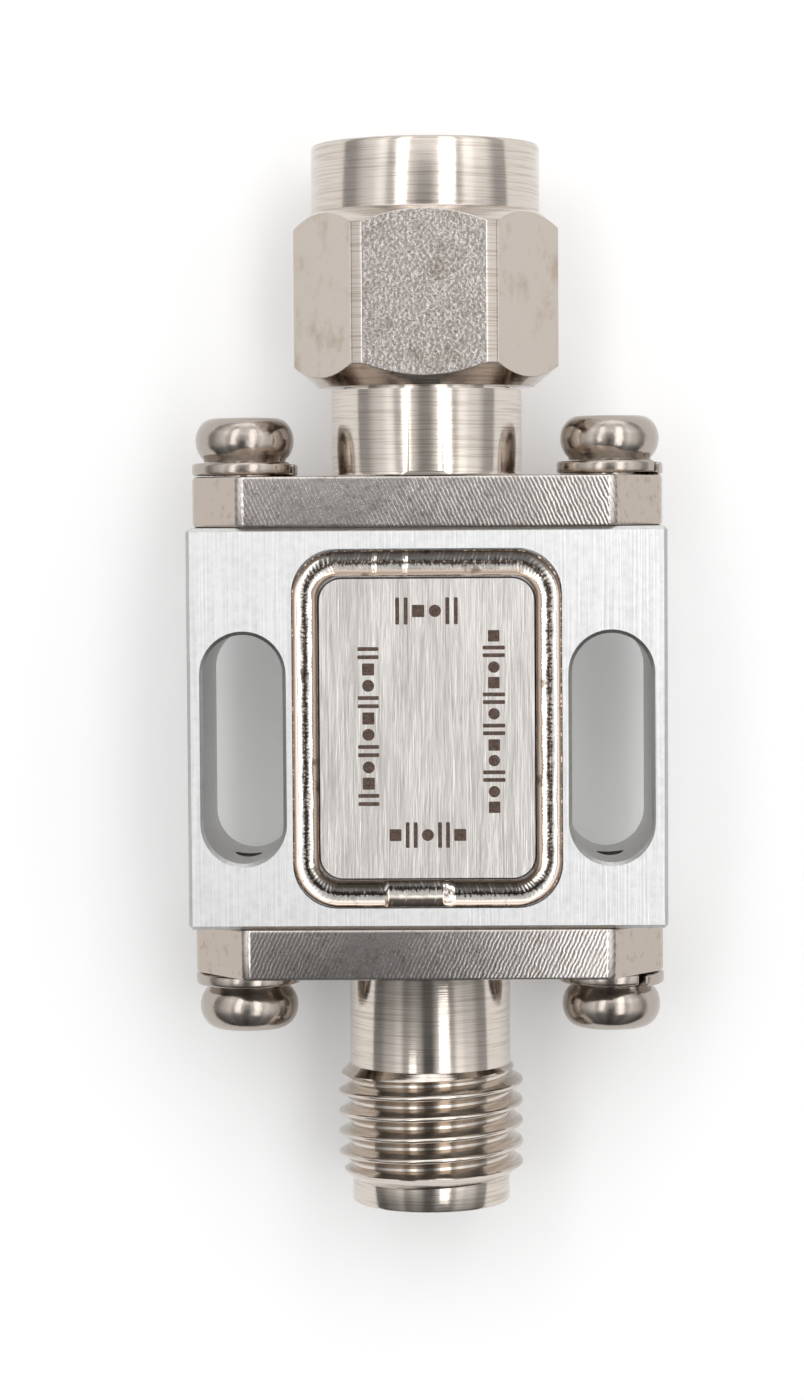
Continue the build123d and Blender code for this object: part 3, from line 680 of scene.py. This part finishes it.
def brokenEdge(radius, front, edge):
    # the last points of a turned outline: its front edge, broken in two steps
    step = edge * 0.3
    return [(radius, front - edge), (radius - step, front - step), (radius - edge, front), (0, front)]


def join(shape, other):
    # puts a second closed shape into the same mesh
    mesh = toMesh(other, "part")
    shape.from_mesh(mesh)
    bpy.data.meshes.remove(mesh)


# Flanges of the two shells

flangeSet = {
    # mm
    "thickness": 1.72,
    "endHeight": 1.9,
    "taper": {"plug": 1.69, "jack": 1.79},
    "cornerRound": 0.22,
    "edge": 0.12,
    "screwHole": 2.3,
    "screwOffset": 6.2,
    "flare": 0.12,  # where a turned body leaves its flange
    "foot": 0.5,  # how far a turned body reaches into its flange
    "flatCutter": 12.0,  # mills the flats, larger than any body
    "flatOver": 0.02,
    "washer": 0.5,  # pressed flat
}
cutterOver = 1.0  # how far a cutter reaches past what it cuts
endWall = boxInMm("housing")[1].y
flangeTop = endWall + flangeSet["thickness"]
flangeHalfHeight = boxInMm("jack_shell")[1].z
screwSeat = flangeTop + flangeSet["washer"]


def boreOutline(radius, start, stop):
    start, stop = start - cutterOver, stop + cutterOver
    return [(0, start), (radius, start), (radius, stop), (0, stop)]


def flangeShape(halfWidth, taper, s):
    # a plate with tapered ends, its upright corners rounded and its two outlines broken
    halfHeight = flangeHalfHeight
    shape = bmesh.new()
    corners = [(halfWidth - taper, halfHeight), (halfWidth, s["endHeight"] / 2),
               (halfWidth, -s["endHeight"] / 2), (halfWidth - taper, -halfHeight)]
    corners += [(-x, z) for x, z in reversed(corners)]
    face = shape.faces.new([shape.verts.new((x, endWall, z)) for x, z in corners])
    grown = bmesh.ops.extrude_face_region(shape, geom=[face])["geom"]
    shiftShape(shape, (0, s["thickness"], 0), [v for v in grown if isinstance(v, bmesh.types.BMVert)])
    upright = [e for e in shape.edges if e.verts[0].co.y != e.verts[1].co.y]
    softenEdges(shape, upright, s["cornerRound"], 4)
    level = [e for e in shape.edges if abs(e.verts[0].co.y - e.verts[1].co.y) < 0.001]
    softenEdges(shape, level, s["edge"])
    faceOut(shape)
    for across in (-s["screwOffset"], s["screwOffset"]):
        hole = turnedShape(boreOutline(s["screwHole"] / 2, endWall, flangeTop), 48)
        shiftShape(hole, (across, 0, 0))
        shape = combined(shape, hole, "DIFFERENCE")
    return shape


def footOutline(inner, radius):
    # the first points of a turned body: its foot in the flange, and the flare where it leaves it
    flare = flangeSet["flare"]
    return [
        (0, flangeTop - flangeSet["foot"]),
        (inner, flangeTop - flangeSet["foot"]),
        (inner, flangeTop),
        (radius + flare, flangeTop),
        (radius + flare * 0.3, flangeTop + flare * 0.3),
        (radius, flangeTop + flare),
    ]


def shellShape(end, outline, bore):
    # joins a turned body to its flange and bores both
    flange = flangeShape(boxInMm(end + "_shell")[1].x, flangeSet["taper"][end], flangeSet)
    for face in flange.faces:
        face.material_index = 1
    body = turnedShape(outline)
    if max(radius for radius, along in outline) > flangeHalfHeight:
        # the flats milled on the flange run on over the foot of the body
        for side in (-1, 1):
            slab = bmesh.new()
            bmesh.ops.create_cube(slab, size=1)
            bmesh.ops.scale(slab, verts=slab.verts, vec=(flangeSet["flatCutter"],) * 3)
            reach = flangeSet["flatCutter"] / 2
            top = flangeTop + flangeSet["flare"] + flangeSet["flatOver"]
            shiftShape(slab, (0, top - reach, side * (flangeHalfHeight + reach)))
            body = combined(body, slab, "DIFFERENCE")
    shape = combined(flange, body, "UNION")
    return combined(shape, turnedShape(bore), "DIFFERENCE")


# Plug shell: flange, neck, journal and the outer contact

plugSet = {
    # mm; radii from the connector axis, lengths away from the flange
    "neck": 3.23,
    "neckLength": 2.88,
    "journal": 2.74,
    "ferrule": 2.29,
    "ferruleLength": 2.35,
    "ferruleEdge": 0.08,
    "bore": 2.05,
}


def plugShell(s):
    neckTop = flangeTop + s["neckLength"]
    reference = boxInMm("plug_shell")[1].y
    shoulder = reference - s["ferruleLength"]
    outline = footOutline(s["journal"], s["neck"]) + [
        (s["neck"], neckTop),
        (s["journal"], neckTop),
        (s["journal"], shoulder),
        (s["ferrule"], shoulder),
        (s["ferrule"], reference - s["ferruleEdge"]),
        (s["ferrule"] - s["ferruleEdge"], reference),
        (0, reference),
    ]
    shape = shellShape("plug", outline, boreOutline(s["bore"], endWall, reference))
    newPiece("plugShell", shape, [finishes["turned_steel"], flangeFinishes["plug"]], "limiter",
             ["plug_shell"])


# Jack shell: flange, barrel, thread and socket mouth

threadSet = {
    # mm; the same for the jack's thread and the nut's
    "pitch": 25.4 / 36,
    "sunk": 0.1,  # the foot of the ridge, in its body
    "sunkEnd": 0.25,  # and where it runs out
    "crestRound": 0.012,
    "flankShares": (0.0, 0.2, 0.4, 0.6, 0.8, 0.94),
    "stepsPerTurn": 120,
    "mouthGap": 0.02,
}
jackSet = {
    # mm
    "barrel": 2.74,
    "barrelLength": 3.33,
    "threadLength": 3.65,
    "crest": 3.165,
    "root": 2.707,
    "rootStep": 0.02,
    "crestFlat": 0.088,
    "threadChamfer": 0.3,
    "tip": 2.69,
    "tipEdge": 0.08,
    "mouth": 2.32,
    "mouthDepth": 1.93,
    "mouthEdge": 0.12,
    "bore": 2.05,
    "startAngle": 200,  # degrees, where the thread begins round the axis
}


def threadShape(s, start, stop, crest, root):
    # one closed ridge wound along the axis, its crest cut back by a cone at each end; it may stand inwards
    out = 1 if crest > root else -1
    pitch, crestHalf = threadSet["pitch"], s["crestFlat"] / 2
    flank = pitch / 2 - s["crestFlat"]
    profile = [(root - threadSet["sunk"] * out, 0.0)]
    profile += [(root + (crest - root) * share, crestHalf + flank * share)
                for share in threadSet["flankShares"]]
    profile.append((crest - threadSet["crestRound"] * out, pitch / 2 - crestHalf * 0.8))
    profile.append((crest, pitch / 2 - crestHalf * 0.2))
    profile += [(radius, pitch - along) for radius, along in reversed(profile)]
    perTurn = threadSet["stepsPerTurn"]
    steps = ceil(((stop - start) / pitch + 1) * perTurn)
    placed = [(radius, start - pitch + along) for radius, along in profile]
    shape = spunShape(placed, steps, 2 * pi * steps / perTurn, pitch / perTurn, True)
    for point in shape.verts:
        radius = hypot(point.co.x, point.co.z)
        fall = s["threadChamfer"] - min(point.co.y - start, stop - point.co.y)
        wanted = out * max(min(out * radius, out * crest - fall), out * root - threadSet["sunkEnd"])
        point.co.x *= wanted / radius
        point.co.z *= wanted / radius
    if out < 0:
        # cut off just inside the mouth
        whole = shape.verts[:] + shape.edges[:] + shape.faces[:]
        place = (0, stop - threadSet["mouthGap"], 0)
        cut = bmesh.ops.bisect_plane(shape, geom=whole, plane_co=place, plane_no=(0, 1, 0),
                                     clear_outer=True)["geom_cut"]
        bmesh.ops.holes_fill(shape, edges=[e for e in cut if isinstance(e, bmesh.types.BMEdge)], sides=0)
    turnShape(shape, radians(s["startAngle"]), "Y")
    faceOut(shape)
    return shape


def jackShell(s):
    barrelTop = flangeTop + s["barrelLength"]
    threadTop = barrelTop + s["threadLength"]
    front = -boxInMm("jack_shell")[0].y
    reference = front - s["mouthDepth"]
    outline = footOutline(s["barrel"], s["barrel"]) + [
        (s["barrel"], barrelTop),
        (s["root"], barrelTop + s["rootStep"]),
        (s["root"], threadTop - s["rootStep"]),
        (s["tip"], threadTop),
    ] + brokenEdge(s["tip"], front, s["tipEdge"])
    bore = [
        (0, endWall - cutterOver),
        (s["bore"], endWall - cutterOver),
        (s["bore"], reference),
        (s["mouth"], reference),
        (s["mouth"], front - s["mouthEdge"]),
        (s["mouth"] + s["mouthEdge"] + cutterOver / 2, front + cutterOver / 2),
        (0, front + cutterOver / 2),
    ]
    shape = shellShape("jack", outline, bore)
    join(shape, threadShape(s, barrelTop, threadTop, s["crest"], s["root"]))
    turnShape(shape, pi, "Z")
    newPiece("jackShell", shape, [finishes["turned_steel"], flangeFinishes["jack"]], "limiter",
             ["jack_shell"])


plugShell(plugSet)
jackShell(jackSet)
print("plug and jack shells modelled")

# Coupling nut

nutSet = {
    # mm
    "corner": 4.485,
    "rim": 3.865,
    "rimLength": 2.28,
    "rimEdge": 0.12,
    "backFace": 3.65,
    "chamfer": 40,  # degrees
    "journalBore": 2.8,
    "journalLength": 0.95,
    "relief": 3.05,
    "threadLength": 4.55,
    "threadBore": 2.82,
    "threadRoot": 3.2,
    "crestFlat": 0.17,
    "threadChamfer": 0.43,
    "startAngle": 40,  # degrees, where the thread begins round the axis
    "mouth": 3.25,
    "edge": 0.05,
}


def couplingNut(s):
    low, high = boxInMm("coupling_nut")
    back, front, halfFlats = low.y, high.y, high.z
    hexTop = front - s["rimLength"]
    slope = tan(radians(s["chamfer"]))
    blank = turnedShape([
        (0, back),
        (s["backFace"], back),
        (s["corner"], back + (s["corner"] - s["backFace"]) * slope),
        (s["corner"], hexTop - (s["corner"] - s["rim"]) * slope),
        (s["rim"], hexTop),
    ] + brokenEdge(s["rim"], front, s["rimEdge"]))
    bar = bmesh.new()
    lying = Matrix.Translation((0, (back + front) / 2, 0)) @ Matrix.Rotation(pi / 2, 4, "X")
    bmesh.ops.create_cone(bar, cap_ends=True, segments=6, radius1=halfFlats / cos(pi / 6),
                          radius2=halfFlats / cos(pi / 6), depth=front - back + cutterOver,
                          matrix=lying @ Matrix.Rotation(pi / 6, 4, "Z"))
    for face in bar.faces:
        face.material_index = 1
    shape = combined(blank, bar, "INTERSECT")
    threadStart = front - s["threadLength"]
    shape = combined(shape, turnedShape([
        (0, back - cutterOver),
        (s["journalBore"], back - cutterOver),
        (s["journalBore"], back + s["journalLength"]),
        (s["relief"], back + s["journalLength"]),
        (s["relief"], threadStart),
        (s["threadRoot"], threadStart + 0.15),
        (s["threadRoot"], front - (s["mouth"] - s["threadRoot"])),
        (s["mouth"] + cutterOver / 2, front + cutterOver / 2),
        (0, front + cutterOver / 2),
    ]), "DIFFERENCE")
    newPiece("couplingNut", shape, [finishes["turned_steel"], flatFinish], "coupling_nut",
             ["coupling_nut"], s["edge"])
    thread = threadShape(s, threadStart + 0.1, front, s["threadBore"], s["threadRoot"])
    newPiece("nutThread", thread, [finishes["turned_steel"]], "coupling_nut")


couplingNut(nutSet)
print("coupling nut modelled")

# Screws and spring washers

screwSet = {
    # mm; the head's side is part of an ellipse
    "shank": 1.0,
    "length": 4.0,
    "sideMiddle": (1.05, 0.72),
    "sideReach": (0.625, 0.77),
    "sideFrom": -55,  # degrees
    "headHeight": 1.51,
    "wing": 2.3,
    "wingWidth": 0.42,
    "wingDepth": 0.75,
    "wingDraft": 0.82,
    "turns": {"plug_screw_left": 29, "plug_screw_right": 63,
              "jack_screw_left": 12, "jack_screw_right": 50},
}
washerSet = {
    # mm
    "inner": 1.06,
    "outer": 1.8,
    "thickness": 0.42,
    "rise": 0.07,
    "corner": 0.1,
    "gap": 9,  # degrees
    "end": 0.07,
    "turns": {"plug_washer_left": 72, "plug_washer_right": 65,
              "jack_washer_left": 200, "jack_washer_right": 330},
}


def screwShape(s):
    # a pan head with a cross recess on a plain shank; the head starts at the origin
    outline = [(0, -s["length"]), (s["shank"] * 0.8, -s["length"]), (s["shank"], 0.2 - s["length"]),
               (s["shank"], 0)]
    (middleRadius, middleHeight), (reachOut, reachUp) = s["sideMiddle"], s["sideReach"]
    start = radians(s["sideFrom"])
    outline.append((middleRadius + reachOut * cos(start) - 0.03, 0))
    for step in range(13):
        angle = start + (pi / 2 - start) * step / 12
        outline.append((middleRadius + reachOut * cos(angle), middleHeight + reachUp * sin(angle)))
    outline += [(middleRadius * 0.5, s["headHeight"] - 0.004), (0, s["headHeight"])]
    shape = turnedShape(outline, 128)
    for turn in (0, pi / 2):
        wing = bmesh.new()
        bmesh.ops.create_cube(wing, size=1)
        for corner in wing.verts:
            draft = s["wingDraft"] if corner.co.y < 0 else 1
            corner.co = (corner.co.x * s["wing"] * draft, corner.co.y * s["wingDepth"] * 2,
                         corner.co.z * s["wingWidth"] * draft)
        shiftShape(wing, (0, s["headHeight"], 0))
        turnShape(wing, turn, "Y")
        shape = combined(shape, wing, "DIFFERENCE")
    return shape


def washerShape(s):
    # a square section wound once, a little open and its ends apart, as a spring washer is
    inner, outer, corner = s["inner"], s["outer"], s["corner"]
    profile = []
    for radius, along, quarter in ((outer, 0, -1), (outer, s["thickness"], 0), (inner, s["thickness"], 1),
                                   (inner, 0, 2)):
        middleRadius = radius + (corner if radius == inner else -corner)
        middleAlong = along + (corner if along == 0 else -corner)
        for step in range(4):
            angle = (quarter + step / 3) * pi / 2
            profile.append((middleRadius + corner * cos(angle), middleAlong + corner * sin(angle)))
    steps = 120
    shape = spunShape(profile, steps, radians(360 - s["gap"]), s["rise"] / steps, True)
    ends = [face for face in shape.faces if len(face.verts) > 4]
    softenEdges(shape, [edge for face in ends for edge in face.edges], s["end"])
    faceOut(shape)
    return shape


def fasteners():
    screw = screwShape(screwSet)
    washer = washerShape(washerSet)
    plated = finishes["nickel_plated_screw"]
    for end in ("plug", "jack"):
        for side, across in (("left", -flangeSet["screwOffset"]), ("right", flangeSet["screwOffset"])):
            outward = -across if end == "jack" else across
            for kind, source, s, along in (("screw", screw, screwSet, screwSeat),
                                           ("washer", washer, washerSet, flangeTop)):
                name = f"{end}_{kind}_{side}"
                copy = source.copy()
                turnShape(copy, radians(s["turns"][name]), "Y")
                shiftShape(copy, (outward, along, 0))
                if end == "jack":
                    turnShape(copy, pi, "Z")
                newPiece(end + kind.capitalize() + side.capitalize(), copy, [plated], "limiter",
                         [name])
    screw.free()
    washer.free()


fasteners()
print("screws and spring washers modelled")

# Weld seam round the lid


def seamPlace(x, y, halfX, halfY, radius):
    # distance along a rounded rectangle from the middle of its right side, and distance outwards from it
    straightX, straightY = halfX - radius, halfY - radius
    quarter = radius * pi / 2
    cornerX, cornerY = abs(x) - straightX, abs(y) - straightY
    if cornerX > 0 and cornerY > 0:
        outwards = hypot(cornerX, cornerY) - radius
        run = straightY + radius * atan2(cornerY, cornerX)
    elif cornerX > cornerY - halfY + halfX and cornerY <= 0:
        outwards = cornerX - radius
        run = abs(y)
    else:
        outwards = cornerY - radius
        run = straightY + quarter + straightX - abs(x)
    whole = 2 * (straightX + straightY + quarter)
    if x < 0:
        run = whole - run
    return (run if y >= 0 else 2 * whole - run), outwards


def weldSeam(s):
    high = boxInMm("weld_seam")[1]
    halfX, halfY = high.x - s["inset"], high.y - s["inset"]
    radius, columns = s["corner"], s["columns"]
    front = boxInMm("housing")[1].z
    shape = bmesh.new()
    points = [shape.verts.new((halfX + s["halfWidth"] * (2 * i / columns - 1), 0, 0))
              for i in range(columns + 1)]
    section = points + [shape.edges.new(pair) for pair in zip(points, points[1:])]
    straightX, straightY = halfX - radius, halfY - radius
    stepLength = s["pulse"] / 6
    cornerSteps = ceil(radius * pi / 2 / stepLength)
    for way, middle in (
        ((0, straightY), (straightX, straightY)), ((-2 * straightX, 0), (-straightX, straightY)),
        ((0, -2 * straightY), (-straightX, -straightY)), ((2 * straightX, 0), (straightX, -straightY)),
        ((0, straightY), None),
    ):
        # a straight stretch, and the corner at its end
        section = bmesh.ops.spin(shape, geom=section, cent=(0, 0, 0), axis=(0, 0, 1), angle=0, steps=1,
                                 dvec=(*way, 0))["geom_last"]
        if middle:
            section = bmesh.ops.spin(shape, geom=section, cent=(*middle, 0), axis=(0, 0, 1),
                                     angle=pi / 2, steps=cornerSteps)["geom_last"]
    for length in (straightY, 2 * straightX, 2 * straightY):
        runs = [edge for edge in shape.edges if abs(edge.calc_length() - length) < stepLength]
        bmesh.ops.subdivide_edges(shape, edges=runs, cuts=ceil(length / stepLength), use_grid_fill=True)
    bmesh.ops.remove_doubles(shape, verts=shape.verts, dist=0.001)
    places = {}
    lap = s["lap"]
    for point in shape.verts:
        along, outwards = seamPlace(point.co.x, point.co.y, halfX, halfY, radius)
        share = outwards / s["halfWidth"]
        lapped = 0
        wander = s["wander"] * noise.noise(Vector((along * 3, 0, 0)))
        wander *= 1 - share * share
        height = s["bowl"] * ((outwards + wander) ** 2 - s["halfWidth"] ** 2)
        height += s["rimRise"][share > 0] * (abs(share) ** s["rimPower"] - 1)
        pulse = along + s["pulseBend"] * outwards * outwards / s["halfWidth"]
        pulse += s["pulseJitter"] * noise.noise(Vector((0, along * 4, 0)))
        ripple = abs(sin(pi * pulse / s["pulse"]))
        strength = (1 - share ** 4) * (0.75 + 0.6 * noise.noise(Vector((along * 5, 3, outwards * 4))))
        height += s["pulseDepth"] * ripple * strength
        height += s["uneven"] * noise.noise(Vector((along * 2, outwards * 5, 7)))
        if point.co.y < 0 and lap["from"] < point.co.x < lap["to"] and share > -1.1:
            # the beam ran over its start here: the groove lies nearer the lid, with a shelf outside it
            lapped = min((point.co.x - lap["from"]) / lap["fromRamp"],
                         (lap["to"] - point.co.x) / lap["toRamp"], 1)
            moved = outwards - lap["bulge"] * lapped * max(0, -share)
            if share < -0.95:
                fall = 0.9 * lap["bulge"] - 0.1 * s["halfWidth"] + lap["rimGap"]
                moved = -s["halfWidth"] - fall * lapped
            if moved > lap["ridge"]:
                pool = -lap["shelf"] * ((moved - lap["ridge"]) / (s["halfWidth"] - lap["ridge"])) ** 1.5
            else:
                pool = lap["depth"] * ((moved - lap["groove"]) ** 2 - (lap["ridge"] - lap["groove"]) ** 2)
            pool += lap["uneven"] * noise.noise(Vector((point.co.x * 4, point.co.y * 6, 2)))
            height = height * (1 - lapped) + (pool + s["pulseDepth"] * ripple * strength) * lapped
            point.co.y += outwards - moved
            if moved < -s["halfWidth"]:
                # the melt stands on the lid's edge
                height = (lap["bead"] if share > -0.95 else -lap["rimFall"]) - s["height"]
        if point.co.y > 0:
            for spot in s["strokes"]:
                bell = exp(-((point.co.x - spot) / s["strokeWidth"]) ** 2)
                height += s["strokeRise"] * (1 - share ** 4) * bell
        point.co.z = front + s["height"] + (height if lapped else min(height, 0))
        places[point] = (along, 0.5 + 0.5 * share + 0.2 * lapped * (1 - share * share))
    layer = shape.loops.layers.uv.new("seam")
    for face in shape.faces:
        for corner in face.loops:
            corner[layer].uv = places[corner.vert]
    faceOut(shape)
    if sum(face.normal.z for face in shape.faces) < 0:
        bmesh.ops.reverse_faces(shape, faces=shape.faces)
    newPiece("weldSeam", shape, [finishes["weld_metal"]], "limiter", ["weld_seam"])


weldSeam(seamSet)
print("weld seam modelled")

# Laser marks on the lid: four rows of plain shapes

markSet = {
    # mm: a row's middle, the way it runs in degrees from +X, its length, and the height of its marks
    "rows": [
        {"middle": (0.0, 3.92), "turn": 0, "reach": 2.22, "height": 0.9,
         "marks": "post block disc post"},
        {"middle": (0.0, -3.55), "turn": 0, "reach": 2.69, "height": 0.86,
         "marks": "block post disc post block"},
        {"middle": (-1.955, 0.08), "turn": 90, "reach": 5.44, "height": 0.7,
         "marks": "post block disc post disc block post disc block post"},
        {"middle": (2.225, 0.225), "turn": -90, "reach": 6.23, "height": 0.74,
         "marks": "block post disc block post disc post block disc post disc block"},
    ],
    "share": 0.74,  # of its place in the row that a mark fills
    "stroke": 0.13,
    "rise": 0.004,
    "corner": 0.03,
}


def markStrokes(kind, width, height, stroke):
    # the strokes of one mark, each as its middle and size: a pair of posts, or one low block
    if kind == "post":
        return [((side * (width - stroke) / 2, 0), (stroke, height)) for side in (-1, 1)]
    return [((0, 0), (width, width))]


def lidMarks(s):
    top = boxInMm("lid")[1].z
    shape = bmesh.new()
    for row in s["rows"]:
        marks = row["marks"].split()
        pitch = row["reach"] / len(marks)
        width = pitch * s["share"]
        made = []
        for number, kind in enumerate(marks):
            run = (number + 0.5) * pitch - row["reach"] / 2
            if kind == "disc":
                spot = bmesh.ops.create_cone(shape, cap_ends=True, segments=24, radius1=width / 2,
                                             radius2=width / 2, depth=2 * s["rise"])["verts"]
                shiftShape(shape, (run, 0, 0), spot)
                made += spot
                continue
            for middle, size in markStrokes(kind, width, row["height"], s["stroke"]):
                stroke = bmesh.ops.create_cube(shape, size=1)["verts"]
                bmesh.ops.scale(shape, verts=stroke, vec=(*size, 2 * s["rise"]))
                shiftShape(shape, (run + middle[0], middle[1], 0), stroke)
                upright = {e for v in stroke for e in v.link_edges
                           if abs(e.verts[0].co.z - e.verts[1].co.z) > s["rise"]}
                bevelled = softenEdges(shape, list(upright), s["corner"])
                made += list({v for face in bevelled["faces"] for v in face.verts})
        turnShape(shape, radians(row["turn"]), "Z", made)
        shiftShape(shape, (*row["middle"], top), made)
    newPiece("lidMarks", shape, [laserMark(markFinish)], "limiter")


lidMarks(markSet)
print("lid marks modelled")

# The CAD nodes that stay: each takes the finish of its material slot

for part in frame["record"]["subparts"]:
    nodes[part["node"]].material_slots[0].material = finishes[part["material_slot"]]
print("CAD nodes finished")
